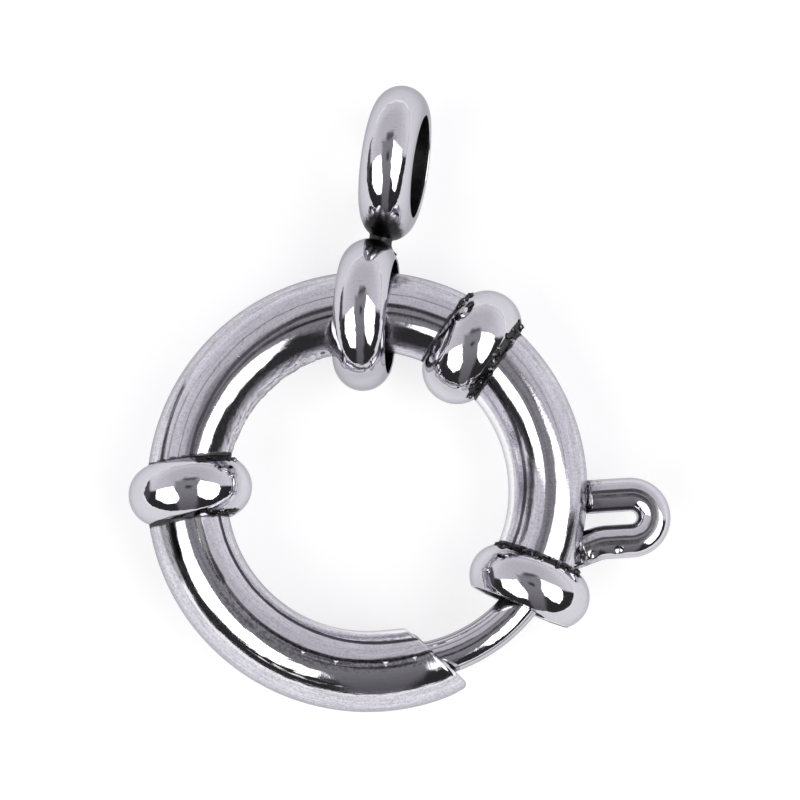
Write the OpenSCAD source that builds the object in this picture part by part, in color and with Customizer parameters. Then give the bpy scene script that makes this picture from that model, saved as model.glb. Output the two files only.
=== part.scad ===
// Spring ring clasp: a curved tube with a sprung bolt across its gate, three
// collars, a thumb trigger and a loose bail. It lies flat, ring axis up, with
// the origin at the centre of the main ring. Angles go round the ring, from +X
// towards +Y, and the bail is at the +Y side.

/* [Main ring] */
// Outer diameter of the main ring
ring_od = 18; // [17:0.25:22]
// Outer diameter of the ring's tube
tube_od = 3.27; // [3.15:0.01:3.6]
// Bore of the tube, in which bolt and spring run
tube_bore = 2.4; // [2.2:0.05:2.5]
// Angle round the ring of the end that takes the bolt's tip
catch_angle = -67.3; // [-72:0.1:-63]
// Slant of that end, measured from a square cut
catch_slant = 22.6; // [0:0.1:28]

/* [Collars] */
// Outer diameter of the collars
collar_od = 5.05; // [4.6:0.01:5.2]
// Width of the rear and mouth collars along the tube
collar_w = 2.44; // [2:0.02:2.6]
// Width of the upper collar
upper_w = 2.64; // [2:0.02:2.7]
// Angle round the ring of the rear collar, over the spring's stop
rear_angle = 180.3; // [170:0.1:190]
// Turn of the rear collar off square
rear_skew = 8; // [0:0.5:10]
// How far the rear collar's rounded outside sits out from the tube's centre
rear_shift = -0.14; // [-0.2:0.01:0.2]
// Angle round the ring of the upper collar, where the trigger's travel ends
upper_angle = 54; // [53:0.1:60]
// Turn of the upper collar off square
upper_skew = 1.5; // [0:0.5:8]
// How far the upper collar's rounded outside sits out from the tube's centre
upper_shift = -0.11; // [-0.2:0.01:0.2]
// Angle round the ring of the collar at the mouth, where the trigger rests
mouth_collar_angle = -30.8; // [-32:0.1:-30]
// Turn of the mouth collar off square
mouth_skew = 9.5; // [6:0.5:12]
// How far the mouth collar's rounded outside sits out from the tube's centre
mouth_shift = 0.28; // [-0.2:0.01:0.3]
// Distance from the middle of the mouth collar to its flat end face
mouth_face = 0.95; // [0.7:0.01:1]
// Turn of that face off square
face_skew = 7; // [4:0.5:12]

/* [Bolt and spring] */
// Diameter of the bolt's rod
bolt_d = 1.52; // [1.4:0.02:1.7]
// Angle round the ring that the bolt's tip reaches when shut
tip_angle = -75; // [-80:0.5:-73]
// How much tighter the rod is bent than its path, as a shift of its centre
bolt_bow = 1.3; // [0:0.1:1.6]
// Angle round the ring at which the rod comes nearest to the tube's outer side
bow_angle = -27; // [-35:1:-10]
// Length of the bolt's thick inner end along the ring
head_l = 0.8; // [0.5:0.05:1.2]
// Diameter of the spring's wire
spring_wire_d = 0.3; // [0.2:0.02:0.4]
// Outer diameter of the spring
spring_od = 2; // [1.8:0.02:2.1]
// Turns in the spring
spring_turns = 26; // [16:1:28]

/* [Trigger] */
// Diameter of the trigger's bent wire
trigger_wire_d = 1.38; // [1.2:0.02:1.5]
// Gap between the trigger's two legs
trigger_slit = 0.5; // [0.3:0.02:0.7]
// How far the trigger stands out of the tube
trigger_reach = 3.38; // [3:0.02:4.4]
// Angle round the ring of the trigger's bend when shut
trigger_angle = -6; // [-6.5:0.1:-4]
// Turn of the trigger's legs from straight outward
trigger_turn = 9.5; // [4:0.5:11]
// Thickness of the flattened legs where they pass the slot
leg_t = 0.88; // [0.7:0.02:1]
// Radius of the bend in the lower leg
foot_bend_r = 1.8; // [1.4:0.1:2.4]
// Angle of the bend in the lower leg
foot_bend = 17; // [12:1:20]

/* [Bail] */
// Outer diameter of the bail's large loop, round the tube
loop_od = 6.25; // [6.1:0.05:7]
// Width of the large loop
loop_w = 2.2; // [1.8:0.02:2.4]
// Side play between the large loop and the tube
loop_play = 1.38; // [1.38:0.02:1.6]
// Outer diameter of the bail's small ring
eye_od = 6.42; // [5.8:0.02:7]
// Bore of the small ring, which takes a cord, chain or jump ring
eye_bore = 4.2; // [3.4:0.02:4.5]
// Width of the small ring
eye_w = 2.14; // [1.8:0.02:2.4]
// Diameter of the soldered neck between the two
neck_d = 0.95; // [0.6:0.05:1.2]

/* [Hidden] */
$fn = 96;

// Clearances
seat_gap = 0.02;
bolt_gap = 0.06;
slot_gap = 0.06;
spring_gap = 0.04;
neck_gap = 0.05;
// Overlap by which parts of one piece run into each other
weld = 0.01;
// Spare length of tube past the mouth and past the receiving end
mouth_spare = 0.6;
catch_spare = 1.3;
// Longer than anything that it cuts
over = 4;

// The ring and the bolt's path in it, which hugs the outer side of the bore
tube_r = tube_od / 2;
bore_r = tube_bore / 2;
ring_r = ring_od / 2 - tube_r;
bolt_r = bolt_d / 2;
bolt_path_r = ring_r + bore_r - bolt_r - bolt_gap;
slot_h = leg_t + 2 * slot_gap;
slot_short = 0.4;
slot_end = upper_angle - arc_angle(slot_short);

// The trigger's bend, and how far past the bolt's centre its legs reach
bend_r = (trigger_slit + trigger_wire_d) / 2;
bend_at = ring_od / 2 + trigger_reach - bend_r - trigger_wire_d / 2;
leg_sink = 0.1;
leg_end_r = bolt_path_r - leg_sink;
// Spare length of each leg, cut off at its end
leg_spare = 0.9;
leg_l = bend_at - leg_end_r + leg_spare;
straight_leg = 1;
foot_l = leg_l - straight_leg - foot_bend_r * foot_bend * PI / 180 + leg_spare;
// Where the flats on the legs start outside the tube, and their run-out
flat_start = 0.12;
flat_run = 0.5;

// The rod's own bend: its radius and its centre
rod_r = bolt_path_r - bolt_bow;
rod_centre = bolt_bow * [cos(bow_angle), sin(bow_angle)];

// The bolt's tip, and its head behind the upper leg of the trigger
tip_l = 0.25;
tip_step = 0.05;
leg_wall = 0.1;
leg_top = bend_r + trigger_wire_d / 2 - (bend_at - bolt_path_r) * sin(trigger_turn);
head_angle = trigger_angle + arc_angle(leg_top + leg_wall);
head_r = bore_r - bolt_gap;
head_turn = arc_angle(head_l);

// Depth below the tube's surface to which a collar reaches before its bore
// is cut, more than the tube's bend takes it out of line
collar_root = 0.45;

// The spring's stop, a plug under the middle of the rear collar
stop_l = 1.4;
stop_r = bore_r - seat_gap;
stop_turn = arc_angle(stop_l);

// Flats round the spring's wire, and steps in each of its turns
wire_sides = 6;
turn_steps = 12;

// The bail's two centres and their leans, as the thing lies
loop_bore = tube_od + loop_play;
loop_side = -0.22;
loop_up = 0.5;
loop_along = -0.065;
loop_lean = -5.8;
loop_turn = -4.8;
eye_lean = -7.5;
eye_turn = -9;
eye_dir = 10.7;
eye_away = (loop_od + eye_od) / 2 + neck_gap;
eye_drop = (loop_od - eye_od) / 2;
neck_sink = 0.45;

// Angle that a length takes along the tube's centre line
function arc_angle(length) = length / ring_r * 180 / PI;

// Angle about the rod's own centre of its point at an angle round the ring
function rod_angle(angle) = angle + asin(bolt_bow * sin(angle - bow_angle) / rod_r);

// A curved bar round the ring: its path's radius, its own radius, its angles
module bar(path_r, r, from, to) {
    rotate([0, 0, from])
        rotate_extrude(angle = to - from)
            translate([path_r, 0])
                circle(r);
}

// Half round profile on a seat: an arc of height t over a base of width w,
// with straight sides below the seat for the depth of its root
module half_round(seat_r, t, w, root) {
    arc_r = (w * w / 4 + t * t) / (2 * t);
    intersection() {
        translate([seat_r + t - arc_r, 0])
            circle(arc_r);
        translate([seat_r - root, -w / 2])
            square([root + t + over, w]);
    }
}

// A flat band ring about its own Z axis, half round outside
module band(od, bore, w) {
    rotate_extrude()
        half_round(bore / 2, (od - bore) / 2, w, 0);
}

module tube() {
    color("#b9b8bf")
        difference() {
            bar(ring_r, tube_r, mouth_collar_angle - arc_angle(mouth_face + mouth_spare),
                360 + catch_angle + arc_angle(catch_spare));
            rotate_extrude()
                translate([ring_r, 0])
                    circle(bore_r);
            mouth_cut();
            catch_cut();
            slot();
        }
}

// What the flat face at the mouth cuts off tube and collar together
module mouth_cut() {
    ring_place(mouth_collar_angle, face_skew, 0)
        translate([-over, -mouth_face - 2 * mouth_spare, -over])
            cube([2 * over, 2 * mouth_spare, 2 * over]);
}

// What the slanted cut takes off the receiving end
module catch_cut() {
    ring_place(catch_angle, catch_slant, 0)
        translate([-over, 0, -over])
            cube([2 * over, 2 * catch_spare, 2 * over]);
}

// The trigger's slot, open at the mouth so that bolt and trigger slide in
module slot() {
    rotate([0, 0, mouth_collar_angle - arc_angle(2 * mouth_face)])
        rotate_extrude(angle = slot_end - mouth_collar_angle + arc_angle(2 * mouth_face))
            translate([ring_r, -slot_h / 2])
                square([over, slot_h]);
}

// Moves a child from the origin, +Y along the tube, to a place on the ring
module ring_place(angle, skew, shift) {
    rotate([0, 0, angle])
        translate([ring_r + shift, 0, 0])
            rotate([0, 0, skew])
                children();
}

// The collar at the mouth, cut flat together with the tube's end
module collar_mouth() {
    color("#c9c8cf")
        difference() {
            collar(mouth_collar_angle, mouth_skew, mouth_shift, collar_w);
            mouth_cut();
        }
}

// A collar pressed on the tube: its angle, its turn, its shift outward, its width
module collar(angle, skew, shift, w) {
    color("#c9c8cf")
        difference() {
            ring_place(angle, skew, shift)
                rotate([90, 0, 0])
                    rotate_extrude()
                        half_round(tube_r, collar_od / 2 - tube_r, w, collar_root);
            rotate_extrude()
                translate([ring_r, 0])
                    circle(tube_r + seat_gap);
        }
}

module spring_stop() {
    color("#8d8c92")
        bar(ring_r, stop_r, rear_angle - stop_turn / 2, rear_angle + stop_turn / 2);
}

// The bolt: rod, chamfered tip and thick head, with a socket for each leg
module bolt() {
    color("#c4c3ca")
        difference() {
            union() {
                translate(rod_centre) {
                    bar(rod_r, bolt_r, rod_angle(tip_angle), rod_angle(head_angle + head_turn / 2));
                    rotate([0, 0, rod_angle(tip_angle)])
                        translate([rod_r, tip_step, 0])
                            rotate([90, 0, 0])
                                cylinder(h = tip_l + tip_step, r1 = bolt_r - tip_step, r2 = bolt_r - tip_l);
                }
                bar(ring_r, head_r, head_angle, head_angle + head_turn);
            }
            legs(seat_gap);
        }
}

// The trigger: a U bent from round wire, its legs flattened to pass the slot
module trigger() {
    color("#bdbcc3") {
        legs(0);
        trigger_place()
            rotate([0, 0, -90])
                rotate_extrude(angle = 180)
                    translate([bend_r, 0])
                        circle(trigger_wire_d / 2);
    }
}

// Moves a child from the trigger's bend, legs towards -X, to its place
module trigger_place() {
    rotate([0, 0, trigger_angle])
        translate([bend_at, 0, 0])
            rotate([0, 0, trigger_turn])
                children();
}

// Both legs, larger all round by a gap, from the bend to inside the bolt
module legs(gap) {
    wire_r = trigger_wire_d / 2 + gap;
    difference() {
        trigger_place() {
            translate([0, bend_r, 0])
                rotate([0, -90, 0])
                    cylinder(h = leg_l, r = wire_r);
            translate([0, -bend_r, 0])
                rotate([0, -90, 0])
                    cylinder(h = straight_leg, r = wire_r);
            translate([-straight_leg, -bend_r - foot_bend_r, 0])
                rotate([0, 0, 90]) {
                    rotate_extrude(angle = foot_bend)
                        translate([foot_bend_r, 0])
                            circle(wire_r);
                    rotate([0, 0, foot_bend])
                        translate([foot_bend_r, 0, 0]) {
                            sphere(wire_r + weld);
                            rotate([-90, 0, 0])
                                cylinder(h = foot_l, r = wire_r);
                        }
                }
        }
        leg_flats(leg_t / 2 + gap);
        translate([0, 0, -over])
            cylinder(h = 2 * over, r = leg_end_r - gap);
    }
}

// What is pressed off the legs above and below half a thickness
module leg_flats(half_t) {
    near = ring_od / 2 + flat_start;
    for (side = [0, 1])
        mirror([0, 0, side])
            rotate_extrude()
                polygon([[0, half_t], [near, half_t], [near + flat_run, trigger_wire_d],
                         [near + flat_run, over], [0, over]]);
}

// The spring, a coil round the tube's centre line from the head to the stop
module spring() {
    wire_r = spring_wire_d / 2;
    coil_r = spring_od / 2 - wire_r;
    sides = wire_sides;
    steps = turn_steps * spring_turns;
    from = head_angle + head_turn + arc_angle(wire_r + spring_gap);
    to = rear_angle - stop_turn / 2 - arc_angle(wire_r + spring_gap);
    points = [for (i = [0:steps])
        let (way = from + (to - from) * i / steps, coil = 360 * spring_turns * i / steps)
        each wire_section(way, coil, (to - from) / (360 * spring_turns), coil_r, wire_r, sides)];
    walls = [for (i = [0:steps - 1], k = [0:sides - 1])
        let (a = i * sides + k, b = i * sides + (k + 1) % sides)
        each [[a, a + sides, b], [b, a + sides, b + sides]]];
    caps = [[for (k = [0:sides - 1]) k],
            [for (k = [sides - 1:-1:0]) steps * sides + k]];
    color("#a8a7ad")
        polyhedron(points, concat(walls, caps));
}

// The corners of the wire at one place along the coil. The wire's section is
// spanned by the way out from the coil's axis and the way across the wire.
function wire_section(way, coil, climb, coil_r, wire_r, sides) =
    let (outward = [cos(way), sin(way), 0],
         along = [-sin(way), cos(way), 0],
         up = [0, 0, 1],
         out = cos(coil) * outward + sin(coil) * up,
         round_it = -sin(coil) * outward + cos(coil) * up,
         slope = (ring_r + coil_r * cos(coil)) * climb / coil_r,
         across = (along - slope * round_it) / sqrt(1 + slope * slope),
         middle = ring_r * outward + coil_r * out)
    [for (k = [0:sides - 1]) middle + wire_r * (cos(360 * k / sides) * out + sin(360 * k / sides) * across)];

// The bail: a loose loop round the tube, soldered to a small ring
module bail() {
    color("#c6c5cc") {
        bail_place() {
            rotate([0, loop_lean, loop_turn])
                rotate([0, 90, 0])
                    band(loop_od, loop_bore, loop_w);
            eye_place()
                rotate([0, eye_lean, eye_turn])
                    rotate([0, 90, 0])
                        band(eye_od, eye_bore, eye_w);
            rotate([0, 0, -eye_dir])
                translate([0, loop_od / 2 - neck_sink, 0])
                    rotate([-90, 0, 0])
                        cylinder(h = 2 * neck_sink + neck_gap, d = neck_d);
        }
    }
}

// Moves a child from the loop's centre to its place on the tube
module bail_place() {
    translate([loop_along, ring_r + loop_side, loop_up])
        children();
}

// Moves a child from the loop's centre to the small ring's centre
module eye_place() {
    rotate([0, 0, -eye_dir])
        translate([0, eye_away, -eye_drop])
            rotate([0, 0, eye_dir])
                children();
}

tube();
collar(rear_angle, rear_skew, rear_shift, collar_w);  // collar_rear
collar(upper_angle, upper_skew, upper_shift, upper_w);  // collar_upper
collar_mouth();
spring_stop();
bolt();
spring();
trigger();
bail();
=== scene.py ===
"""A spring ring clasp in polished and drawn steel, lying on a pale table.

Lengths are in millimetres until a mesh is made, and angles in degrees, round the
main ring from +X towards +Y. The clasp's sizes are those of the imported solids.
"""

import math

import bpy
import numpy as np
from mathutils import Matrix, Vector


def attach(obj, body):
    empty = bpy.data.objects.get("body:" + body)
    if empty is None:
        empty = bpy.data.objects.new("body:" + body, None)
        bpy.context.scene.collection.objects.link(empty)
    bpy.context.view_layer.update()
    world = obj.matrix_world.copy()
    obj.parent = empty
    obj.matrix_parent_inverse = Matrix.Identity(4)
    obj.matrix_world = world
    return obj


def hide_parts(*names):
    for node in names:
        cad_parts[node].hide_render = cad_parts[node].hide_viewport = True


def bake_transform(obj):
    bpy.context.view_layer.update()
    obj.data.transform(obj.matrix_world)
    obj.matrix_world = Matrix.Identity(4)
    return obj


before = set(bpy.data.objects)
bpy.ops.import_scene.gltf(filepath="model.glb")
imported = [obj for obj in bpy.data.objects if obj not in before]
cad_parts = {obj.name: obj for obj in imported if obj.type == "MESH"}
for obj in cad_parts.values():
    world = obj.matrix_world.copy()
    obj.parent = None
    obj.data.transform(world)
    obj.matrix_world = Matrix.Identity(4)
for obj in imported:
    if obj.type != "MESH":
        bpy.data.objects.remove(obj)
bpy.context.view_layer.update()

# One millimetre in the metres of a mesh
MM = 0.001

# Main ring
RING_OD, TUBE_OD, TUBE_BORE = 18, 3.27, 2.4
TUBE_R, BORE_R = TUBE_OD / 2, TUBE_BORE / 2
RING_R = RING_OD / 2 - TUBE_R
CATCH_ANGLE, CATCH_SLANT = -67.3, 22.6
LIP_R, LIP_DROP, LIP_REACH = 0.2, 0.06, 1.0
SLOT_H, SLOT_END = 1.0, 50.9
# The inner rim's ragged stretch: turns, where it starts round the tube, and how far
# its points lie out of place
RAGGED_FROM, RAGGED_TO, RAGGED_ROUND, RAGGED_OFF = 98, 177, 138, (-0.02, 0.07)

# Collars: angle, turn off square, shift outward, width
COLLAR_OD = 5.05
REAR_COLLAR = (180.3, 8, -0.14, 2.44)
UPPER_COLLAR = (54, 1.5, -0.11, 2.64)
MOUTH_COLLAR = (-30.8, 9.5, 0.28, 2.44)
MOUTH_FACE, FACE_SKEW = 0.95, 7
SOOT_REACH, SEAM_SOOT, UNDER_SOOT = 0.12, 0.5, 0.25
CRUMB_SIZE, CRUMB_SOOT = (0.05, 0.12), (0.4, 1)
# Solder grains at a collar's edges: side, from and to round the tube, how many, and
# how far in from the edge
REAR_SOLDER = ((-1, 108, 168, 8, 0.36), (1, 120, 165, 7, 0.16))
UPPER_SOLDER = ((-1, 22, 155, 46, 0.32), (1, 15, 62, 12, 0.16))
MOUTH_SOLDER = ((1, 30, 160, 46, 0.24),)

# Bolt and spring
BOLT_R, BOLT_PATH_R = 0.76, 7.745
BOLT_BOW, BOW_ANGLE, TIP_ANGLE = 1.3, -27, -75
HEAD_ANGLE, HEAD_TURN, HEAD_R = 3.6, 6.2, 1.14
SPRING_R, SPRING_WIRE_R, SPRING_TURNS = 0.85, 0.15, 26
SPRING_FROM, SPRING_TO = 11.3, 173.4

# Trigger
WIRE_R, BEND_R, BEND_AT = 0.69, 0.94, 10.75
TRIGGER_ANGLE, TRIGGER_TURN = -6, 9.5
STRAIGHT_LEG, FOOT_BEND_R, FOOT_BEND = 1, 1.8, 17
LEG_HALF_T, FLAT_START, FLAT_RUN = 0.44, 8.85, 0.25
# Where the legs darken near their roots, and how much: painted shade where they go into the tube,
# with pinch marks
ROOT_START, ROOT_END, ROOT_SHADE_AND_MARKS = 9.0, 10.4, 0.4
LEG_END, LEG_END_R = 4.0, 7.7
# Knocks in the lower leg: where along it, angle round it, size and depth
LEG_KNOCKS = ((-0.58, 58, 0.11, 0.09), (-0.75, 40, 0.08, -0.05), (-1.75, 55, 0.12, 0.08))

# Bail
LOOP_OD, LOOP_BORE, LOOP_W = 6.25, 4.65, 2.2
EYE_OD, EYE_BORE, EYE_W = 6.42, 4.2, 2.14
BAIL_AT = (-0.065, 7.145, 0.5)
LOOP_LEAN, LOOP_TURN = -5.8, -4.8
EYE_LEAN, EYE_TURN, EYE_DIR = -7.5, -9, 10.7
EYE_AWAY, EYE_DROP, NECK_D = 6.385, -0.085, 0.95
NECK_HALF, NECK_GAP, NECK_FLARE = 0.475, 0.025, 0.3
LOOP_STAIN, EYE_STAIN = 0.45, 0.85

# Table: its height, its reach each way and its glow
TABLE_Z, TABLE_REACH, TABLE_GLOW = -2.62, 600, 0.65
# Rounding of the tube's cut ends, the mouth collar's flat face, the rod and the bands
CUT_EDGE, FACE_EDGE, ROD_EDGE, BAND_EDGE = 0.1, 0.05, 0.05, 0.07
# Seeds of the random draws for the ragged rim and for the solder
RIM_SEED, SOLDER_SEED = 3, 7


def cos(degrees):
    return np.cos(np.radians(degrees))


def sin(degrees):
    return np.sin(np.radians(degrees))


def smooth(value):
    """Runs softly from 0 to 1 as value does."""
    t = np.clip(value, 0, 1)
    return t * t * (3 - 2 * t)


def folded(around):
    """An angle round a bar, taken alike above and below: 0 outward, 180 inward."""
    return 180 - np.abs(np.abs(around) - 180)


def points(x, y, z):
    """Stacks three arrays, spread to one shape, into points."""
    return np.stack(np.broadcast_arrays(x, y, z), -1).astype(float)


def on_torus(turn, round_tube, radius):
    """Points of a ring's tube: turn round the ring, round_tube from outward to up."""
    out = RING_R + radius * cos(round_tube)
    return points(out * cos(turn), out * sin(turn), radius * sin(round_tube))


class Shell:
    """Collects quads on grids of points, and makes one mesh of them."""

    def __init__(self):
        self.corners = []
        self.lays = []
        self.faces = []
        self.count = 0

    def grid(self, xyz, lay=None):
        """Adds a grid of points, with no faces yet, and returns their numbers."""
        rows, columns = xyz.shape[:2]
        self.corners.append(xyz.reshape(-1, 3))
        lay = np.zeros_like(xyz) if lay is None else lay
        self.lays.append(np.broadcast_to(lay, xyz.shape).reshape(-1, 3))
        numbers = self.count + np.arange(rows * columns).reshape(rows, columns)
        self.count += rows * columns
        return numbers

    def skin(self, numbers, wrap_rows=False, wrap_columns=False, flip=False, keep=None):
        """Adds the quads between a grid's points."""
        if wrap_rows:
            numbers = np.vstack([numbers, numbers[:1]])
        if wrap_columns:
            numbers = np.hstack([numbers, numbers[:, :1]])
        a, b = numbers[:-1, :-1], numbers[:-1, 1:]
        c, d = numbers[1:, 1:], numbers[1:, :-1]
        quads = np.stack([a, d, c, b] if flip else [a, b, c, d], -1)
        quads = quads.reshape(-1, 4) if keep is None else quads[keep]
        self.faces.extend(quads.tolist())

    def lid(self, numbers, flip=False):
        """Closes a ring of points with one face."""
        loop = list(map(int, numbers))
        self.faces.append(loop[::-1] if flip else loop)

    def make(self, name, edge=0.0, edge_angle=40):
        """The finished object, in metres, its sharp edges rounded by edge."""
        mesh = bpy.data.meshes.new(name)
        corners = np.concatenate(self.corners) * MM
        mesh.from_pydata(corners.tolist(), [], self.faces)
        mesh.polygons.foreach_set("use_smooth", [True] * len(mesh.polygons))
        lay = mesh.attributes.new("lay", "FLOAT_VECTOR", "POINT")
        lay.data.foreach_set("vector", np.concatenate(self.lays).ravel())
        mesh.validate()
        mesh.update()
        piece = bpy.data.objects.new(name, mesh)
        bpy.context.scene.collection.objects.link(piece)
        if edge:
            bevel = piece.modifiers.new("rounded edges", "BEVEL")
            bevel.width = edge * MM
            bevel.segments = 3
            bevel.limit_method = "ANGLE"
            bevel.angle_limit = math.radians(edge_angle)
            bevel.harden_normals = True
        return piece


def sweep(shell, centres, out, up, section, lay=None):
    """Adds a bar: a section, given as (out, up) offsets per row, along a path."""
    xyz = (centres[:, None, :] + section[..., :1] * out[:, None, :]
           + section[..., 1:] * up[:, None, :])
    numbers = shell.grid(xyz, lay)
    shell.skin(numbers, wrap_columns=True)
    shell.lid(numbers[0])
    shell.lid(numbers[-1], flip=True)
    return numbers


def round_section(radii, sides):
    """Circles of the given radii, one row each."""
    a = np.linspace(0, 360, sides, endpoint=False)
    radii = np.asarray(radii, float)[:, None]
    return np.stack([radii * cos(a), radii * sin(a)], -1)


def half_round(x, seat_r, rise, width):
    """Height over the axis of a half round profile at x along its width."""
    arc_r = (width * width / 4 + rise * rise) / (2 * rise)
    return seat_r + rise - arc_r + np.sqrt(np.maximum(arc_r ** 2 - x ** 2, 0))


def cut_turn(angle, skew, offset, radius):
    """Turn round the ring at which a circle meets a flat cut across the tube."""
    facing = angle + skew
    reach = RING_R * sin(-skew) + offset
    return facing + np.degrees(np.arcsin(reach / radius))


def collar_soot(xyz):
    """1 beside a collar, fading to 0 a little way off, where polishing never reaches."""
    soot = np.zeros(xyz.shape[:2])
    for angle, skew, shift, width in (REAR_COLLAR, UPPER_COLLAR, MOUTH_COLLAR):
        centre, axis, out, _ = collar_frame(angle, skew, shift)
        across = np.abs((xyz - centre) @ axis) - width / 2
        same_side = (xyz - centre) @ out > -RING_R
        soot = np.maximum(soot, (1 - smooth(across / SOOT_REACH)) * same_side)
    return soot


def make_tube():
    """The drawn tube: wall, bore, slot on its outer side and two cut ends."""
    slot_columns, plain_columns = 8, 88
    lip_rows, mouth_rows, ring_rows = 10, 100, 250
    end_reach, lip_turn, lip_ease = 20, 2, 1.6
    ragged_start, ragged_end, ragged_round = 10, 4, 25
    luck = np.random.default_rng(RIM_SEED)
    shell = Shell()
    grids = []
    for radius in (TUBE_R, BORE_R):
        half = np.degrees(np.arcsin(SLOT_H / 2 / radius))
        around = np.concatenate([
            np.linspace(-half, half, slot_columns, endpoint=False),
            np.linspace(half, 360 - half, plain_columns, endpoint=False)])
        circle_r = RING_R + radius * cos(around)
        start = cut_turn(MOUTH_COLLAR[0], FACE_SKEW, -MOUTH_FACE, circle_r)
        end = 360 + cut_turn(CATCH_ANGLE, CATCH_SLANT, 0, circle_r)
        first = cut_turn(MOUTH_COLLAR[0], FACE_SKEW, -MOUTH_FACE, RING_R)
        last = 360 + cut_turn(CATCH_ANGLE, CATCH_SLANT, 0, RING_R)
        rows = np.concatenate([
            np.linspace(first, SLOT_END, mouth_rows, endpoint=False),
            np.linspace(SLOT_END, last - lip_turn, ring_rows, endpoint=False),
            last - lip_turn * np.linspace(1, 0, lip_rows) ** lip_ease])[:, None]
        near_start = 1 - smooth((rows - first) / end_reach)
        near_end = 1 - smooth((last - rows) / end_reach)
        turn = rows + (start - first) * near_start + (end - last) * near_end
        to_end = np.radians(end - turn) * circle_r
        worn = np.maximum(LIP_R - to_end, 0)
        drop = LIP_R - np.sqrt(LIP_R ** 2 - worn ** 2)
        drop += LIP_DROP * smooth(1 - to_end / LIP_REACH)
        fold = folded(around)
        ragged = smooth((fold - RAGGED_ROUND) / ragged_round)
        ragged = ragged * smooth((turn - RAGGED_FROM) / ragged_start)
        ragged = ragged * smooth((RAGGED_TO - turn) / ragged_end)
        drop = drop + ragged * luck.uniform(*RAGGED_OFF, turn.shape)
        xyz = on_torus(turn, around[None, :], radius - drop * (radius > BORE_R))
        grids.append(shell.grid(xyz, points(turn, fold[None, :], collar_soot(xyz))))
    outer, inner = grids
    open_slot = np.ones((len(outer) - 1, outer.shape[1]), bool)
    open_slot[:mouth_rows, :slot_columns] = False
    shell.skin(outer, wrap_columns=True, flip=True, keep=open_slot)
    shell.skin(inner, wrap_columns=True, keep=open_slot)
    for column, flip in ((0, False), (slot_columns, True)):
        wall = np.stack([outer[:mouth_rows + 1, column], inner[:mouth_rows + 1, column]])
        shell.skin(wall, flip=flip)
    slot_floor = slice(0, slot_columns + 1)
    slot_wall = np.stack([outer[mouth_rows, slot_floor], inner[mouth_rows, slot_floor]])
    shell.skin(slot_wall, flip=True)
    solid = list(range(slot_columns, outer.shape[1])) + [0]
    shell.skin(np.stack([outer[0, solid], inner[0, solid]]), flip=True)
    shell.skin(np.stack([outer[-1], inner[-1]]), wrap_columns=True)
    return shell.make("drawn_tube", edge=CUT_EDGE)


def collar_frame(angle, skew, shift):
    """Centre, axis along the tube, way out and way up of a collar."""
    centre = np.array([cos(angle), sin(angle), 0]) * (RING_R + shift)
    facing = angle + skew
    axis = np.array([-sin(facing), cos(facing), 0])
    out = np.array([cos(facing), sin(facing), 0])
    return centre, axis, out, np.array([0, 0, 1.0])


def tube_depth(place):
    """How far points are from the tube's centre line."""
    out = np.hypot(place[..., 0], place[..., 1]) - RING_R
    return np.hypot(out, place[..., 2])


def add_crumb(shell, centre, radius, luck):
    """A lumpy grain of solder."""
    rows, columns, top = 6, 8, 78
    lump, stretch = (0.75, 1.25), (0.6, 1.4)
    up = np.linspace(-top, top, rows)[:, None]
    around = np.linspace(0, 360, columns, endpoint=False)[None, :]
    lumpy = radius * luck.uniform(*lump, (rows, columns))
    ball = points(cos(up) * cos(around), cos(up) * sin(around), sin(up)) * lumpy[..., None]
    ball = ball * luck.uniform(*stretch, 3)
    lay = points(0, around, luck.uniform(*CRUMB_SOOT)) + np.zeros_like(ball)
    numbers = shell.grid(centre + ball, lay)
    shell.skin(numbers, wrap_columns=True)
    shell.lid(numbers[0], flip=True)
    shell.lid(numbers[-1])


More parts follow.
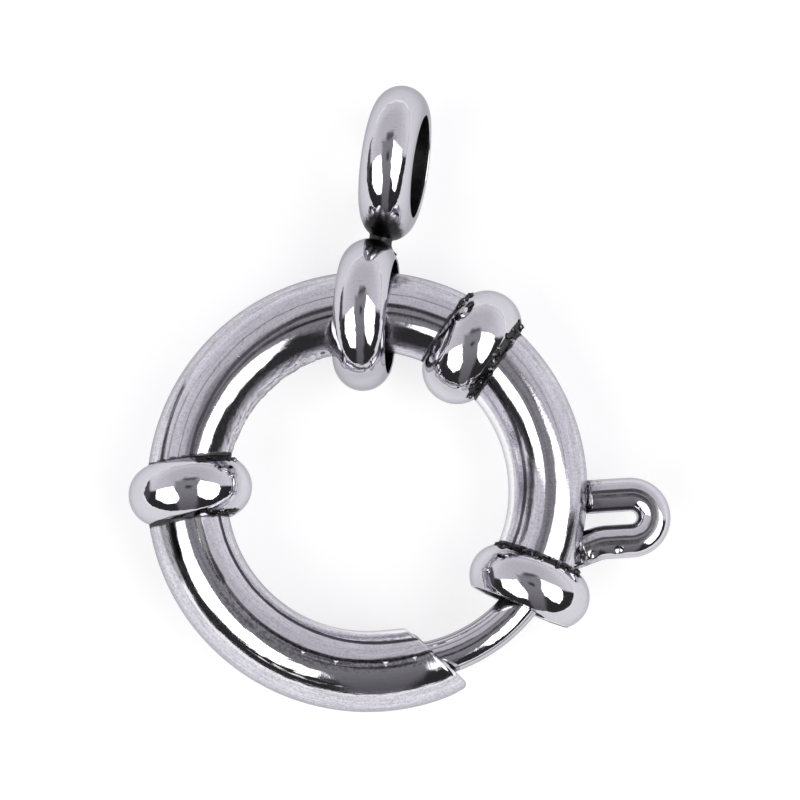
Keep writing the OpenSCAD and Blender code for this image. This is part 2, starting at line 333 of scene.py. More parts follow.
def make_collar(name, angle, skew, shift, width, flat_face=False, solder=()):
    """A half round collar, its underside sunk into the tube's surface."""
    around_steps, across_steps, under_steps = 192, 56, 14
    sunk, wall, worn_edge = 0.04, 0.1, 0.08
    fade_round, fade_across, seat_passes, sharp = 8, 0.12, 6, 35
    centre, axis, out, up = collar_frame(angle, skew, shift)
    around = np.linspace(0, 360, around_steps, endpoint=False)[None, :]
    spoke = cos(around)[..., None] * out + sin(around)[..., None] * up
    rise = COLLAR_OD / 2 - TUBE_R

    def place(x, radius):
        return centre + x[..., None] * axis + radius[..., None] * spoke

    def seat(x, depth):
        """Radius at which the collar meets the tube, or lies a depth below it."""
        radius = np.full(np.broadcast(x, around).shape, TUBE_R)
        for _ in range(seat_passes):
            radius += TUBE_R - depth - tube_depth(place(x, radius))
        return radius

    across = np.linspace(-90, 90, across_steps)[:, None]
    x = width / 2 * sin(across) + 0 * around
    if flat_face:
        x = np.maximum(x, face_x(centre, axis, spoke, x, rise, width))
    top = np.maximum(half_round(x, TUBE_R, rise, width), seat(x, sunk))
    share = np.linspace(1, 0, under_steps)[:, None]
    under_x = x[:1] + (x[-1:] - x[:1]) * share
    under = seat(under_x, sunk + wall)
    shell = Shell()
    xyz = np.concatenate([place(x, top), place(under_x, under)])
    seam = SEAM_SOOT * smooth(1 - (width / 2 - np.abs(x)) / worn_edge)
    soot = np.concatenate([seam, UNDER_SOOT + 0 * under])
    x = np.concatenate([x, under_x + 0 * under])
    for side, start, end, _, reach in solder:
        here = smooth((around - start) / fade_round + 1)
        here = here * smooth((end - around) / fade_round + 1)
        inside = side * x - width / 2 + reach
        soot = np.maximum(soot, here * smooth(inside / fade_across + 0.5))
    shell.skin(shell.grid(xyz, points(x, around, soot)), wrap_rows=True, wrap_columns=True)
    luck = np.random.default_rng(SOLDER_SEED)
    for side, start, end, count, reach in solder:
        for where in luck.uniform(start, end, count):
            at = side * (width / 2 - luck.uniform(0, reach))
            spot = half_round(at, TUBE_R, rise, width) * (cos(where) * out + sin(where) * up)
            spot += centre + at * axis
            add_crumb(shell, spot, luck.uniform(*CRUMB_SIZE), luck)
    return shell.make(name, edge=FACE_EDGE if flat_face else 0.0, edge_angle=sharp)


def face_x(centre, axis, spoke, x, rise, width):
    """Place along the mouth collar's axis of the flat face, at each point of its rim."""
    facing = MOUTH_COLLAR[0] + FACE_SKEW
    normal = np.array([-sin(facing), cos(facing), 0])
    middle = np.array([cos(MOUTH_COLLAR[0]), sin(MOUTH_COLLAR[0]), 0]) * RING_R
    radius = half_round(x, TUBE_R, rise, width)
    level = -MOUTH_FACE - (centre - middle) @ normal - radius * (spoke @ normal)
    return level / (axis @ normal)


def rod_turn(turn):
    """Angle about the rod's own centre of its point at a turn round the ring."""
    rod_r = BOLT_PATH_R - BOLT_BOW
    return turn + np.degrees(np.arcsin(BOLT_BOW * sin(turn - BOW_ANGLE) / rod_r))


def make_bolt():
    """The bolt: a bent rod with a rounded tip, and its thick head in the bore."""
    rod_rows, head_rows, cap_rows, sides = 220, 12, 8, 64
    tip_round = 0.22
    shell = Shell()
    rod_r = BOLT_PATH_R - BOLT_BOW
    middle = BOLT_BOW * np.array([cos(BOW_ANGLE), sin(BOW_ANGLE), 0])
    turn = np.linspace(rod_turn(TIP_ANGLE), rod_turn(HEAD_ANGLE + HEAD_TURN / 2), rod_rows)
    cap = np.linspace(0, 90, cap_rows, endpoint=False)
    tip_turn = turn[0] - np.degrees(tip_round / rod_r) * cos(cap)
    tip_radii = BOLT_R - tip_round * (1 - sin(cap))
    turn = np.concatenate([tip_turn, turn])
    radii = np.concatenate([tip_radii, np.full(rod_rows, BOLT_R)])
    out = points(cos(turn), sin(turn), 0)
    up = points(0 * turn, 0, 1)
    section = round_section(radii, sides)
    around = folded(np.linspace(0, 360, sides, endpoint=False))
    lay = points(turn[:, None], around[None, :], 0)
    sweep(shell, middle + rod_r * out, out, up, section, lay)
    turn = np.linspace(HEAD_ANGLE, HEAD_ANGLE + HEAD_TURN, head_rows)
    out = points(cos(turn), sin(turn), 0)
    section = round_section(np.full(head_rows, HEAD_R), sides)
    sweep(shell, RING_R * out, out, points(0 * turn, 0, 1), section)
    return shell.make("sliding_bolt", edge=ROD_EDGE)


def trigger_path(step=0.04):
    """Centre line of the bent wire, from the upper leg's end round to the lower's."""
    bend_rows, leg_rows, heel_rows, toe_rows, toe_short = 72, 24, 16, 60, 0.5
    foot = 90 + FOOT_BEND
    upper = np.linspace(-LEG_END, 0, int(LEG_END / step), endpoint=False)
    legs_up = points(upper, BEND_R, 0)
    a = np.linspace(90, -90, bend_rows)
    bend = points(BEND_R * cos(a), BEND_R * sin(a), 0)
    lower = np.linspace(0, -STRAIGHT_LEG, leg_rows)[1:]
    legs_down = points(lower, -BEND_R, 0)
    a = np.linspace(90, foot, heel_rows)[1:]
    heel = points(-STRAIGHT_LEG + FOOT_BEND_R * cos(a),
                  -BEND_R - FOOT_BEND_R + FOOT_BEND_R * sin(a), 0)
    along = np.array([-sin(foot), cos(foot), 0])
    toe_length = LEG_END - STRAIGHT_LEG - toe_short
    toe = heel[-1] + np.linspace(0, toe_length, toe_rows)[1:, None] * along
    return np.concatenate([legs_up, bend, legs_down, heel, toe])


def make_trigger():
    """The thumb piece: a U of round wire, its legs pressed flat to pass the slot."""
    sides = 48
    flat = trigger_path()
    facing = TRIGGER_ANGLE + TRIGGER_TURN
    turn = np.array([[cos(facing), -sin(facing), 0], [sin(facing), cos(facing), 0], [0, 0, 1]])
    centre = BEND_AT * np.array([cos(TRIGGER_ANGLE), sin(TRIGGER_ANGLE), 0])
    path = centre + flat @ turn.T
    kept = np.hypot(path[:, 0], path[:, 1]) > LEG_END_R
    flat, path = flat[kept], path[kept]
    along = np.gradient(path, axis=0)
    along /= np.linalg.norm(along, axis=1, keepdims=True)
    up = np.broadcast_to([0, 0, 1.0], path.shape)
    out = np.cross(up, along)
    section = round_section(np.full(len(path), WIRE_R), sides)
    reach = np.hypot(path[:, 0], path[:, 1])
    half_t = LEG_HALF_T + (WIRE_R - LEG_HALF_T) * smooth((reach - FLAT_START) / FLAT_RUN)
    section[..., 1] *= half_t[:, None] / WIRE_R
    around = np.linspace(0, 360, sides, endpoint=False)
    for place, angle, size, depth in LEG_KNOCKS:
        off = np.radians(around - angle)[None, :] * WIRE_R
        near = np.hypot(flat[:, :1] - place, off) / size
        knock = depth / WIRE_R * np.exp(-near ** 2) * (flat[:, 1:2] < 0)
        section *= (1 - knock)[..., None]
    length = np.concatenate([[0], np.cumsum(np.linalg.norm(np.diff(path, axis=0), axis=1))])
    # Painted shade and pinch marks darken the legs near the tube
    soot = ROOT_SHADE_AND_MARKS * (1 - smooth((reach - ROOT_START) / (ROOT_END - ROOT_START)))
    lay = points(length[:, None], folded(around)[None, :], soot[:, None])
    shell = Shell()
    sweep(shell, path, out, up, section, lay)
    return shell.make("thumb_trigger")


def about(axis, degrees):
    """The turn about an axis, as a 3 by 3 array."""
    return np.array(Matrix.Rotation(math.radians(degrees), 3, axis))


def add_band(shell, outer, bore, width, turn, centre, neck, stain):
    """Adds a band ring, half round outside; its axis is X before it is turned."""
    around_steps, across_steps, bore_steps, stain_z = 224, 44, 10, 0.25
    rise = (outer - bore) / 2
    arc_r = (width * width / 4 + rise * rise) / (2 * rise)
    side = np.degrees(np.arccos((arc_r - rise) / arc_r))
    across = np.linspace(-side, side, across_steps)
    x = arc_r * sin(across)
    radius = bore / 2 + rise - arc_r + arc_r * cos(across)
    inside = np.linspace(x[-1], x[0], bore_steps)[1:-1]
    in_bore = np.concatenate([0 * x, 1 + 0 * inside])
    x = np.concatenate([x, inside])
    radius = np.concatenate([radius, np.full(len(inside), bore / 2)])
    around = np.linspace(0, 360, around_steps, endpoint=False)[None, :]
    xyz = points(x[:, None], radius[:, None] * sin(around), radius[:, None] * cos(around))
    xyz = centre + xyz @ turn.T
    away = np.linalg.norm((xyz - neck) * [1, 1, stain_z], axis=-1)
    by_neck = 1 - smooth((away - NECK_D / 2) / stain)
    lay = points(x[:, None], around, np.maximum(in_bore[:, None], by_neck))
    shell.skin(shell.grid(xyz, lay), wrap_rows=True, wrap_columns=True, flip=True)


def make_bail():
    """The loose loop, the small ring and the soldered neck between them."""
    rows, sides, flare_ease = 24, 40, 2.5
    shell = Shell()
    along = about("Z", -EYE_DIR) @ np.array([0, 1, 0])
    loop_at = np.array(BAIL_AT)
    neck = loop_at + (LOOP_OD / 2 + NECK_GAP) * along
    loop_turn = about("Z", LOOP_TURN) @ about("Y", LOOP_LEAN)
    add_band(shell, LOOP_OD, LOOP_BORE, LOOP_W, loop_turn, loop_at, neck, LOOP_STAIN)
    to_eye = about("Z", -EYE_DIR) @ np.array([0, EYE_AWAY, -EYE_DROP])
    eye_turn = about("Z", EYE_TURN) @ about("Y", EYE_LEAN)
    add_band(shell, EYE_OD, EYE_BORE, EYE_W, eye_turn, loop_at + to_eye, neck, EYE_STAIN)
    reach = np.linspace(-NECK_HALF, NECK_HALF, rows)
    waist = NECK_D / 2 + NECK_FLARE * (np.abs(reach) / NECK_HALF) ** flare_ease
    path = neck + reach[:, None] * along
    out = np.broadcast_to(np.cross([0, 0, 1.0], along), path.shape)
    up = np.broadcast_to([0, 0, 1.0], path.shape)
    lay = points(reach[:, None], np.linspace(0, 360, sides)[None, :], 1)
    sweep(shell, path, out, up, round_section(waist, sides), lay)
    return shell.make("loop_and_ring", edge=BAND_EDGE)


def make_spring():
    """The coil in the bore, from the bolt's head to the stop."""
    sides, turn_steps = 8, 22
    steps = SPRING_TURNS * turn_steps
    way = np.linspace(SPRING_FROM, SPRING_TO, steps + 1)
    coil = np.linspace(0, 360 * SPRING_TURNS, steps + 1)
    path = on_torus(way, coil, SPRING_R)
    along = np.gradient(path, axis=0)
    along /= np.linalg.norm(along, axis=1, keepdims=True)
    out = on_torus(way, coil, 1.0) - on_torus(way, coil, 0.0)
    out -= (out * along).sum(1, keepdims=True) * along
    out /= np.linalg.norm(out, axis=1, keepdims=True)
    shell = Shell()
    section = round_section(np.full(steps + 1, SPRING_WIRE_R), sides)
    sweep(shell, path, out, np.cross(along, out), section)
    return shell.make("coil_spring")


class Value:
    """A number that changes over a surface. Arithmetic on it adds Math nodes."""

    def __init__(self, nodes, socket):
        self.nodes = nodes
        self.socket = socket

    def math(self, operation, *terms):
        """A Math node of the given operation on all the terms."""
        return self.nodes.add("ShaderNodeMath", {"operation": operation}, dict(enumerate(terms)))

    def __add__(self, other):
        return self.math("ADD", self, other)

    def __sub__(self, other):
        return self.math("SUBTRACT", self, other)

    def __rsub__(self, other):
        return self.math("SUBTRACT", other, self)

    def __mul__(self, other):
        return self.math("MULTIPLY", self, other)

    def __truediv__(self, other):
        return self.math("DIVIDE", self, other)

    def __rtruediv__(self, other):
        return self.math("DIVIDE", other, self)

    def __pow__(self, other):
        return self.math("POWER", self, other)

    __radd__ = __add__
    __rmul__ = __mul__

    def step(self, start, end):
        """Runs softly from 0 at start to 1 at end."""
        settings = {"interpolation_type": "SMOOTHSTEP"}
        inputs = {"Value": self, "From Min": start, "From Max": end}
        return self.nodes.add("ShaderNodeMapRange", settings, inputs)

    def absolute(self):
        return self.math("ABSOLUTE", self)


class Nodes:
    """The nodes of one finish, or of the light tent."""

    def __init__(self, tree):
        self.tree = tree
        tree.nodes.clear()

    def add(self, kind, settings=None, inputs=None, output=0):
        """A node: its settings first, then its sockets' values or links."""
        node = self.tree.nodes.new(kind)
        for name, value in (settings or {}).items():
            setattr(node, name, value)
        for name, value in (inputs or {}).items():
            if isinstance(value, Value):
                self.tree.links.new(value.socket, node.inputs[name])
            else:
                node.inputs[name].default_value = value
        return Value(self, node.outputs[output]) if node.outputs else None

    def mix(self, share, first, second):
        """A colour between two colours."""
        inputs = {0: share, 6: first, 7: second}
        return self.add("ShaderNodeMix", {"data_type": "RGBA"}, inputs, output=2)

    def parts(self, vector):
        """The three numbers of a vector."""
        split = self.add("ShaderNodeSeparateXYZ", None, {0: vector})
        return [Value(self, socket) for socket in split.socket.node.outputs]

    def vector(self, x, y, z):
        return self.add("ShaderNodeCombineXYZ", None, {0: x, 1: y, 2: z})


# What the metal sees over the table, as shapes in degrees away from straight up,
# across towards +X and up towards +Y
LEFT_WINDOW = [(-62, -2), (-61, -32), (-36, -56), (-17, -57), (-13, -38), (-28, 5)]
RIGHT_WINDOW = [(21, 20), (18, -10), (22, -34), (37, -50), (49, -53), (60, -36),
                (65, -12), (60, 3), (33, 15)]
GREY_GAP = [(-26, 22), (-9, -100), (16, -100), (26, 22)]
HOOD = [(-14, 24), (-6, 19), (12, 21), (18, 27), (12, 33), (-8, 33)]
LENS = [(-5, 0), (-2, -8), (5, -9), (8, -3), (6, 3), (-1, 4)]
TENT_POST = [(-98, 34), (-98, -45), (-82, -45), (-74, 0), (-77, 40)]
# The small dark forms and the shade of each, and how soft the edges of all shapes are
TENT_FORMS = ((HOOD, 0.12), (LENS, 0.05), (TENT_POST, 0.08))
FORM_SOFT, GAP_SOFT, WINDOW_SOFT = 9, 10, 2
# Where the tent brightens sideways, where it pales to the horizon, where its dark side
# towards -Y ends, and where the gap between the windows fades, in the same degrees
SIDES_GLOW, HORIZON_GLOW, DARK_EDGE, GAP_FADE = (20, 70), (60, 90), (-6, 2), (-100, 10)
WINDOW_LIGHT, TENT_SHADE, DARK_SHADE = 2.9, 0.58, 0.03
SIDE_LIGHT, HORIZON_LIGHT = 0.12, 0.15
GAP_SHADE, GAP_RISE = 0.13, 0.14
WHITE, LAVENDER = (1, 1, 1, 1), (0.95, 0.925, 1.01, 1)
# Added to a length that is divided by, so that it is never 0
TINY = 1e-5


def pane(across, upward, corners, soft):
    """1 inside a convex outline, given anticlockwise, and 0 outside it."""
    inside = None
    for (x0, y0), (x1, y1) in zip(corners, corners[1:] + corners[:1]):
        length = math.hypot(x1 - x0, y1 - y0)
        nx, ny = (y0 - y1) / length, (x1 - x0) / length
        reach = across * nx + (upward * ny - (x0 * nx + y0 * ny))
        inside = reach if inside is None else inside.math("MINIMUM", inside, reach)
    return inside.step(-soft / 2, soft / 2)


def hang_light_tent():
    """The white tent over the table, its two windows and what stands between them."""
    world = bpy.data.worlds.new("light tent")
    bpy.context.scene.world = world
    world.use_nodes = True
    nodes = Nodes(world.node_tree)
    x, y, z = nodes.parts(nodes.add("ShaderNodeTexCoord", output="Generated"))
    away = z.math("ARCCOSINE", z) * math.degrees(1)
    spread = away / ((x * x + y * y) ** 0.5 + TINY)
    across, upward = x * spread, y * spread
    sides = across.absolute().step(*SIDES_GLOW) * SIDE_LIGHT
    shade = sides + away.step(*HORIZON_GLOW) * HORIZON_LIGHT + TENT_SHADE
    below = 1 - upward.step(*DARK_EDGE)
    shade = shade * (1 - below) + below * DARK_SHADE
    gap = pane(across, upward, GREY_GAP, GAP_SOFT)
    depth = upward.step(*GAP_FADE) * GAP_RISE + GAP_SHADE
    shade = shade * (1 - gap) + depth * gap
    for outline, grey in TENT_FORMS:
        mask = pane(across, upward, outline, FORM_SOFT)
        shade = shade * (1 - mask) + mask * grey
    left = pane(across, upward, LEFT_WINDOW, WINDOW_SOFT)
    right = pane(across, upward, RIGHT_WINDOW, WINDOW_SOFT)
    windows = left.math("MAXIMUM", left, right)
    shade = shade * (1 - windows) + windows * WINDOW_LIGHT
    colour = nodes.mix(windows, LAVENDER, WHITE)
    light = nodes.add("ShaderNodeBackground", None, {"Color": colour, "Strength": shade})
    backdrop = nodes.add("ShaderNodeBackground", None, {"Color": WHITE, "Strength": 1.0})
    # Seen directly, and not as a reflection, the tent is plain white
    direct = nodes.add("ShaderNodeLightPath")
    seen = nodes.add("ShaderNodeMixShader", None, {0: direct, 1: light, 2: backdrop})
    nodes.add("ShaderNodeOutputWorld", None, {"Surface": seen})


# Colours of the metal: pairs for a cloud to mix, then single ones
BRIGHT_STEEL = ((0.72, 0.71, 0.74, 1), (0.84, 0.83, 0.86, 1))
DRAWN_STEEL = ((0.67, 0.66, 0.695, 1), (0.89, 0.875, 0.92, 1))
# The tube's dull sides, painted darker as shade over what they reflect
DULL_SHADED_STEEL = ((0.49, 0.48, 0.525, 1), (0.77, 0.755, 0.81, 1))
WIRE_STEEL = ((0.5, 0.5, 0.52, 1), (0.66, 0.66, 0.68, 1))
TARNISH = ((0.012, 0.012, 0.013, 1), (0.1, 0.096, 0.094, 1))
TABLE_GREY = ((0.4, 0.4, 0.4, 1), (0.43, 0.43, 0.43, 1))
EDGE_GREY, SCRATCH_GREY = (0.55, 0.55, 0.57, 1), (0.3, 0.3, 0.32, 1)
# A grey for the tube's mirror patch, and the black of its painted dark reflections, soot, nicks
# and pits
MIRROR_GREY, SHADE_AND_SOOT_BLACK = (0.66, 0.66, 0.68, 1), (0.03, 0.03, 0.032, 1)
# White of the inner rim's painted highlight, and of torn bare metal
RIM_HIGHLIGHT_WHITE, TORN_WHITE = (0.98, 0.975, 0.99, 1), (0.95, 0.95, 0.95, 1)
# Painted shade and sheen of steep sides, in place of what they reflect: their grey
# where they begin and where they are steepest
PLAIN_SIDE_SHADE = ((0.56, 0.55, 0.59, 1), (0.62, 0.61, 0.655, 1))
COLLAR_SIDE_SHADE = ((0.59, 0.58, 0.62, 1), (0.84, 0.825, 0.88, 1))
# How level the metal is, 1 being flat, where steep sides end; where their grey begins
# to change as they steepen; and how far what counts as level leans towards +Y
SIDE_EDGE, SIDE_LEVEL, SIDE_LEAN = (0.697, 0.747), 0.707, 0.06
# Painted dark reflections along the bolt and the trigger, drawn as lines: angle round it,
# half their width and depth of shade
ROD_DARK_REFLECTIONS = ((150, 4, 0.7), (119, 2.5, 0.45), (102, 1.5, 0.3), (67, 2, 0.4), (37, 3, 0.6))
TRIGGER_DARK_REFLECTIONS = ((80, 6, 0.8), (99, 3, 0.65), (150, 9, 0.9), (30, 2, 0.3))


def new_finish(name):
    """A material with its nodes, ready for a surface."""
    material = bpy.data.materials.new(name)
    material.use_nodes = True
    return material, Nodes(material.node_tree)


def in_mm(nodes):
    """Places on the piece, in millimetres."""
    place = nodes.add("ShaderNodeTexCoord", output="Object")
    return nodes.add("ShaderNodeVectorMath", {"operation": "SCALE"}, {0: place, "Scale": 1 / MM})


def cloud(nodes, place, size, detail=2.0, rough=0.5):
    """Soft noise, 0 to 1, with forms of about the given size in mm."""
    inputs = {"Vector": place, "Scale": 1 / size, "Detail": detail, "Roughness": rough}
    return nodes.add("ShaderNodeTexNoise", {"noise_dimensions": "3D"}, inputs)


def bumped(nodes, height, depth, under=None):
    """A normal bent by a height, whose full range is depth mm."""
    inputs = {"Height": height, "Distance": depth * MM, "Strength": 1.0}
    if under is not None:
        inputs["Normal"] = under
    return nodes.add("ShaderNodeBump", None, inputs)


def surface(nodes, colour, rough, normal, metal=1.0, glow=0.0):
    """The shader that all finishes share, and the material's output."""
    inputs = {"Base Color": colour, "Roughness": rough, "Normal": normal, "Metallic": metal,
              "Specular Tint": EDGE_GREY, "Emission Color": WHITE, "Emission Strength": glow}
    shader = nodes.add("ShaderNodeBsdfPrincipled", None, inputs)
    nodes.add("ShaderNodeOutputMaterial", None, {"Surface": shader})


def read_lay(nodes):
    """The place along and round a piece, and how dark it is there: soot, and on the trigger's
    legs painted shade with pinch marks.
    """
    lay = nodes.add("ShaderNodeAttribute", {"attribute_name": "lay"}, output="Vector")
    return nodes.parts(lay)


def tarnish(nodes, place, soot):
    """Blotchy darkness, full where the soot is."""
    blotch_size, blotch_share, soot_share, none, full = 0.16, 0.9, 1.5, 0.75, 1.45
    blotch = cloud(nodes, place, blotch_size, detail=3, rough=0.6)
    return (soot * soot_share + blotch * blotch_share).step(none, full)


def painted_side_shade(nodes):
    """1 on a piece's steep sides, painted with shade and sheen in place of what they reflect; how
    steep.
    """
    facing = nodes.add("ShaderNodeTexCoord", output="Normal")
    _, y, z = nodes.parts(facing)
    level = (z - y * SIDE_LEAN).absolute()
    return 1 - level.step(*SIDE_EDGE), 1 - level.step(0, SIDE_LEVEL)


def on_line(off, half, soft):
    """1 on a line of a given half width, fading out over a share of it."""
    return 1 - off.absolute().step(half * (1 - soft), half * (1 + soft))


def polished_steel(name, side_shade_tones=PLAIN_SIDE_SHADE, dark_reflections=()):
    """Mirror polish, with the faint waves, scratches and pits that polishing leaves,
    painted shade and sheen on steep sides, and painted dark reflections along it.
    """
    wave_size, ripple_size, fine_size, scratch_size = 1.1, 0.3, 0.07, 0.05
    relief, ripple_share, fine_share = 0.03, 0.12, 0.012
    scratch_along, scratch_lean, scratch_depth = 0.12, 0.4, 0.3
    scratches_show, line_soft, fine_tone = (0.66, 0.74), 0.5, 0.3
    gloss, fine_rough, dark_rough = 0.02, 0.08, 0.25
    material, nodes = new_finish(name)
    place = in_mm(nodes)
    _, around, soot = read_lay(nodes)
    dark = tarnish(nodes, place, soot)
    # Painted dark reflections, drawn as lines along the piece
    for middle, half, depth in dark_reflections:
        dark = dark.math("MAXIMUM", dark, on_line(around - middle, half, line_soft) * depth)
    waves = cloud(nodes, place, wave_size)
    ripple = cloud(nodes, place, ripple_size, detail=3)
    fine = cloud(nodes, place, fine_size, detail=2)
    side, steep = painted_side_shade(nodes)
    x, y, z = nodes.parts(place)
    rubbed = nodes.vector(x * scratch_along, y + z * scratch_lean, z)
    scratch = cloud(nodes, rubbed, scratch_size, detail=1).step(*scratches_show)
    bright = nodes.mix(fine, *BRIGHT_STEEL)
    # Steep sides get a painted shade and sheen in place of what they reflect
    dull_and_shaded = nodes.mix(steep + fine * fine_tone - fine_tone / 2, *side_shade_tones)
    colour = nodes.mix(side, bright, dull_and_shaded)
    colour = nodes.mix(scratch * scratch_depth, colour, SCRATCH_GREY)
    colour = nodes.mix(dark, colour, nodes.mix(ripple, *TARNISH))
    normal = bumped(nodes, waves + ripple * ripple_share + fine * fine_share, relief)
    surface(nodes, colour, fine * fine_rough + (dark * dark_rough + gloss), normal)
    return material


# Where forming pressed the tube out of round: from and to in turns round the ring,
# from and to in angles round the tube, and how far the surface rises between these
PRESSED = [(-60, 50, 92, 138, -0.245), (52, 95, 105, 135, -0.1), (52, 176, 60, 110, 0.117),
           (95, 176, 106, 134, -0.06), (60, 176, 134, 176, 0.15), (184, 300, 35, 100, 0.26),
           (184, 300, 125, 165, 0.1)]
# Painted dark reflections along the tube, drawn as lines, the last two painting shade
# over a bright band: from and to in turns, angle round the tube at both ends, half their
# width and their depth of shade
DARK_REFLECTION_LINES = [
    (56, 176, 69, 78, 1.0, 0.4), (56, 176, 86, 96, 2.4, 0.65),
    (56, 116, 97, 101, 1.6, 0.55), (184, 292, 108, 101, 2.4, 0.75),
    (184, 250, 143, 137, 3.0, 0.95), (250, 292, 137, 127, 3.0, 0.95),
    (180, 212, 105, 106, 4.5, 0.9), (184, 206, 49, 56, 6, 0.6),
    (182, 200, 71, 66, 5, 0.85), (180, 196, 80, 80, 7, 0.4),
    (154, 178, 61, 63, 1.5, 0.35), (-30, 48, 132, 122, 3.0, 0.85),
    (24, 48, 80, 80, 4.0, 0.35), (-20, 48, 67, 66, 1.0, 0.3),
    (152, 178, 46, 55, 3.5, 0.65), (120, 176, 160, 163, 1.5, 0.4),
    (56, 160, 42, 42, 5.0, 0.24), (-20, 48, 42, 42, 5.0, 0.22)]
# The inner rim, painted white as a burnt out highlight: from and to in turns, and where it
# begins, round the tube
PAINTED_RIM_HIGHLIGHT = [(-25, 48, 149, 151), (238, 292, 166, 147)]
# Nicks: turn, angle round the tube, size across and depth in mm, and how dark
NICKS = [(249, 97, 0.14, 0.04, 0), (260, 97, 0.2, 0.05, 0), (276, 97.5, 0.26, 0.06, 0),
         (285.5, 97, 0.22, 0.06, 0), (135, 89, 0.16, 0.02, 0.9)]
# Patches: from, to and softness in turns, and the same round the tube
SPECKLED_PATCH = ((218, 300, 12), (88, 103, 3))
MIRROR_PATCH = ((240, 300, 5), (62, 90, 5))
CHURNED_PATCH = ((236, 262, 6), (68, 94, 6))
# Angles round the tube over which its dull outer side ends, its dull inner side begins
# and its rough inner rim begins, and the turns of that rim; the dull sides are painted
# darker, as shade over what they reflect
OUTER_DULL_SHADE, INNER_DULL_SHADE, RIM_START, ROUGH_TURNS = (49, 52), (136, 140), (124, 160), (100, 176, 6)
# Noise over the tube: how much it is drawn out along the tube and round it, its size in
# mm, detail and roughness, a row each for wobble, lines, wrinkles, waves, flakes, flecks
GRAINS = ((0.5, 1.0, 0.5, 2, 0.5), (0.06, 1.0, 0.09, 3, 0.6), (1.0, 0.5, 0.075, 3, 0.7),
          (0.3, 1.0, 0.45, 2, 0.5), (1.0, 1.0, 0.12, 2, 0.5), (0.6, 1.0, 0.08, 1, 0.5))
# Noise at which streaks, flakes and flecks begin to show and fully show
STREAKS_SHOW, FLAKES_SHOW, FLECKS_SHOW = (0.34, 0.66), (0.48, 0.6), (0.63, 0.7)
# Heights in mm of the tube's finer relief
CHURN_RISE, WAVE_RISE, LINE_RISE, RIM_RISE, WRINKLE_RISE = 0.03, 0.012, 0.0018, 0.02, 0.0022
# Millimetres along the ring and round the tube in one degree
TURN_MM, ROUND_MM = math.radians(RING_R), math.radians(TUBE_R)


def between(value, start, end, soft):
    """1 from start to end, fading out over soft beyond them."""
    return value.step(start - soft, start) * (1 - value.step(end, end + soft))


def patch(turn, around, place):
    """1 on a patch of the tube, given as two rows for between."""
    along, across = place
    return between(turn, *along) * between(around, *across)


def pressed(turn, around):
    """How far forming moved the tube's surface out, in mm."""
    press_soft = 6
    rise = 0
    for start, end, low, high, height in PRESSED:
        rise = rise + between(turn, start, end, press_soft) * (around.step(low, high) * height)
    return rise


def past_line(turn, around, start, end, first, last):
    """Degrees round the tube past a line that slants from first to last."""
    slope = (last - first) / (end - start)
    return around - (turn - start) * slope - first


def reflection_line_shade(turn, around):
    """Painted shade of the dark reflections along the tube, drawn as lines."""
    line_fade, line_soft = 3, 0.4
    shade = 0
    for start, end, first, last, half, depth in DARK_REFLECTION_LINES:
        off = past_line(turn, around, start, end, first, last)
        line = on_line(off, half, line_soft) * depth
        shade = shade + between(turn, start, end, line_fade) * line
    return shade


def nicked(turn, around):
    """The nicks: how far they cut in, their shade, and their torn bright metal."""
    slant, flat_side, shade_edge, torn_edge = 1.6, 1.2, (0, 0.4), (0.1, 0.3)
    cut, shade, torn = 0, 0, 0
    for at_turn, at_around, size, depth, darkness in NICKS:
        sideways = ((turn - at_turn) * TURN_MM).absolute() * slant
        across = (around - at_around) * ROUND_MM
        away = across.math("MAXIMUM", sideways - across, across * flat_side) / (size / 2)
        nick = 1 - away.math("MINIMUM", away, 1.0)
        cut = cut + nick * depth
        if darkness:
            shade = shade + nick.step(*shade_edge) * darkness
        else:
            torn = torn + nick.step(*torn_edge)
    return cut, shade, torn


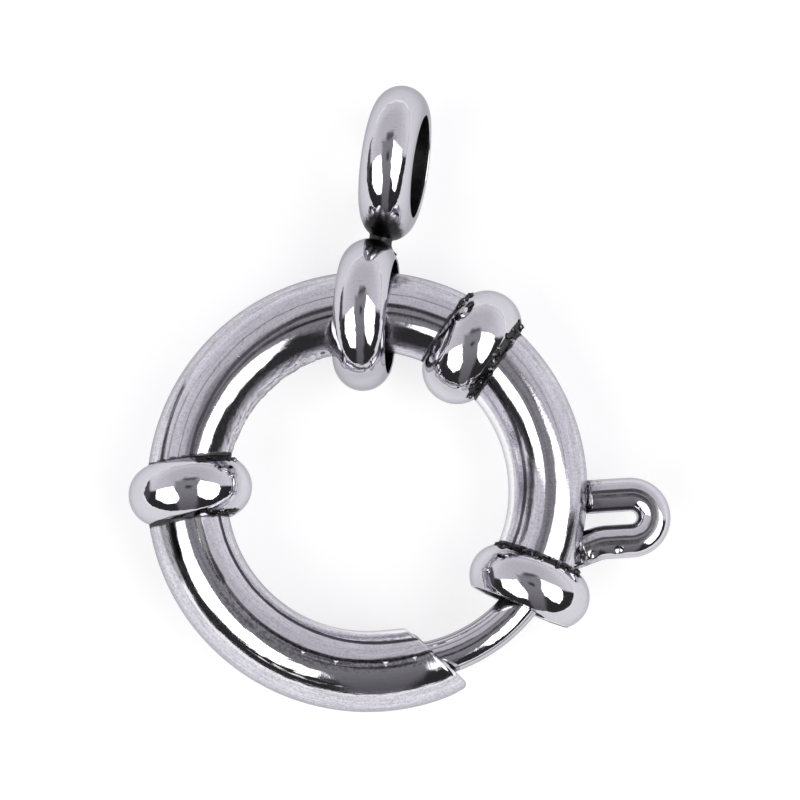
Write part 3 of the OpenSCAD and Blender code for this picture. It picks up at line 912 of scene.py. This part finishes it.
def drawn_steel():
    """Polish over fine lines along the tube, cross wrinkles from bending, and small pits,
    with painted dark reflections, painted shade on its dull sides and a painted highlight on its
    inner rim.
    """
    wander, darkest = 3, 0.92
    speckle_shade, plain_flecks, rim_flecks, mirror_share = 0.35, 0.22, 0.5, 0.8
    rim_fade, rim_edge = 4, (-2, 3)
    gloss, wrinkle_rough, dark_rough, dull_rough, torn_rough = 0.03, 0.1, 0.3, 0.12, 0.5
    material, nodes = new_finish("drawn steel")
    turn, around, soot = read_lay(nodes)
    dark = tarnish(nodes, in_mm(nodes), soot)
    along_mm, around_mm = turn * TURN_MM, around * ROUND_MM
    grains = []
    for layer, (along_share, around_share, size, detail, grit) in enumerate(GRAINS):
        place = nodes.vector(along_mm * along_share, around_mm * around_share, layer)
        grains.append(cloud(nodes, place, size, detail, grit))
    wobble, lines, wrinkles, waves, flakes, flecks = grains
    shaky = around + (wobble - 0.5) * wander
    cut, nick_shade, torn = nicked(turn, around)
    # The dull sides are rougher, and painted darker as shade over what they reflect
    dull_and_shaded = 1 - around.step(*OUTER_DULL_SHADE) * (1 - around.step(*INNER_DULL_SHADE))
    rough_rim = between(turn, *ROUGH_TURNS) * around.step(*RIM_START)
    streaky = ((wrinkles + lines) / 2).step(*STREAKS_SHOW)
    colour = nodes.mix(dull_and_shaded, nodes.mix(streaky, *DRAWN_STEEL), nodes.mix(streaky, *DULL_SHADED_STEEL))
    # Painted highlight: the inner rim painted white
    for start, end, first, last in PAINTED_RIM_HIGHLIGHT:
        inner = past_line(turn, shaky, start, end, first, last)
        rim_highlight = between(turn, start, end, rim_fade) * inner.step(*rim_edge)
        colour = nodes.mix(rim_highlight, colour, RIM_HIGHLIGHT_WHITE)
    mirror = patch(turn, around, MIRROR_PATCH)
    colour = nodes.mix(mirror * mirror_share, colour, MIRROR_GREY)
    speckled = patch(turn, around, SPECKLED_PATCH) * flakes.step(*FLAKES_SHOW) * speckle_shade
    flecked = flecks.step(*FLECKS_SHOW) * (rough_rim * rim_flecks + plain_flecks) * (1 - mirror)
    # Painted dark reflections, with soot, dark nicks and pits
    shade = reflection_line_shade(turn, shaky) + nick_shade + dark + speckled + flecked
    colour = nodes.mix(shade.math("MINIMUM", shade, darkest), colour, SHADE_AND_SOOT_BLACK)
    colour = nodes.mix(torn, colour, TORN_WHITE)
    churned = patch(turn, around, CHURNED_PATCH)
    relief = waves * (churned * CHURN_RISE + WAVE_RISE) + lines * LINE_RISE
    relief = relief + wrinkles * (rough_rim * RIM_RISE + WRINKLE_RISE)
    normal = bumped(nodes, relief, 1.0, bumped(nodes, pressed(turn, around) - cut, 1.0))
    rough = wrinkles * wrinkle_rough + (dark * dark_rough + gloss)
    surface(nodes, colour, rough + dull_and_shaded * dull_rough + torn * torn_rough, normal)
    return material


def spring_wire():
    """Bright drawn wire with a fine grain."""
    grain_size, relief, gloss, grain_rough = 0.1, 0.004, 0.2, 0.2
    material, nodes = new_finish("spring wire")
    fine = cloud(nodes, in_mm(nodes), grain_size, detail=3)
    colour = nodes.mix(fine, *WIRE_STEEL)
    surface(nodes, colour, fine * grain_rough + gloss, bumped(nodes, fine, relief))
    return material


def table_top():
    """The pale table that the clasp lies on."""
    cloud_size, rough, relief = 40, 0.7, 0.001
    material, nodes = new_finish("table")
    shade = cloud(nodes, in_mm(nodes), cloud_size)
    colour = nodes.mix(shade, *TABLE_GREY)
    normal = bumped(nodes, shade, relief)
    surface(nodes, colour, rough, normal, metal=0.0, glow=TABLE_GLOW)
    shell = Shell()
    ends = np.array([-TABLE_REACH, TABLE_REACH])
    shell.skin(shell.grid(points(ends[None, :], ends[:, None], TABLE_Z)))
    table = shell.make("table")
    table.data.materials.append(material)


def set_camera():
    """Looks straight down with the photo's slight tilt towards -Y."""
    aim, distance, tilt = Vector((1.314, 3.695, 0)), 118.6, 7
    camera = bpy.data.objects.new("camera", bpy.data.cameras.new("camera"))
    bpy.context.scene.collection.objects.link(camera)
    camera.data.lens, camera.data.sensor_width = 130.5, 36
    camera.data.clip_start = 0.001
    away = Vector((0, -sin(tilt), cos(tilt)))
    camera.location = (aim + away * distance) * MM
    camera.rotation_mode = "QUATERNION"
    camera.rotation_quaternion = away.to_track_quat("Z", "Y")
    bpy.context.scene.camera = camera


def dress(piece, finish, body, node):
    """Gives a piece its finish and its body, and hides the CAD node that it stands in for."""
    piece.data.materials.append(finish)
    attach(piece, body)
    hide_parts(node)


def clear_start_scene():
    """Removes what Blender starts with."""
    for name in ("Cube", "Light", "Camera"):
        if name in bpy.data.objects:
            bpy.data.objects.remove(bpy.data.objects[name])


clear_start_scene()
bpy.context.scene.view_settings.view_transform = "Standard"
polished, drawn, wire = polished_steel("polished steel"), drawn_steel(), spring_wire()
turned = polished_steel("turned collars", COLLAR_SIDE_SHADE)
rod = polished_steel("polished rod", dark_reflections=ROD_DARK_REFLECTIONS)
bent = polished_steel("bent wire", COLLAR_SIDE_SHADE, TRIGGER_DARK_REFLECTIONS)
dress(make_tube(), drawn, "ring", "tube")
rear = make_collar("rear_collar", *REAR_COLLAR, solder=REAR_SOLDER)
upper = make_collar("upper_collar", *UPPER_COLLAR, solder=UPPER_SOLDER)
mouth = make_collar("mouth_collar", *MOUTH_COLLAR, flat_face=True, solder=MOUTH_SOLDER)
dress(rear, turned, "ring", "collar_rear")
dress(upper, turned, "ring", "collar_upper")
dress(mouth, turned, "ring", "collar_mouth")
dress(make_bolt(), rod, "bolt", "bolt")
dress(make_trigger(), bent, "bolt", "trigger")
dress(make_bail(), polished, "bail", "bail")
spring = make_spring()
spring.data.materials.append(wire)
spring_ends = [on_torus(np.array([[turn]]), 0, 0)[0, 0] * MM for turn in (SPRING_FROM, SPRING_TO)]
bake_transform(spring)
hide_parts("spring")
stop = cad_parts["spring_stop"]
stop.data.materials.clear()
stop.data.materials.append(wire)
table_top()
hang_light_tent()
set_camera()
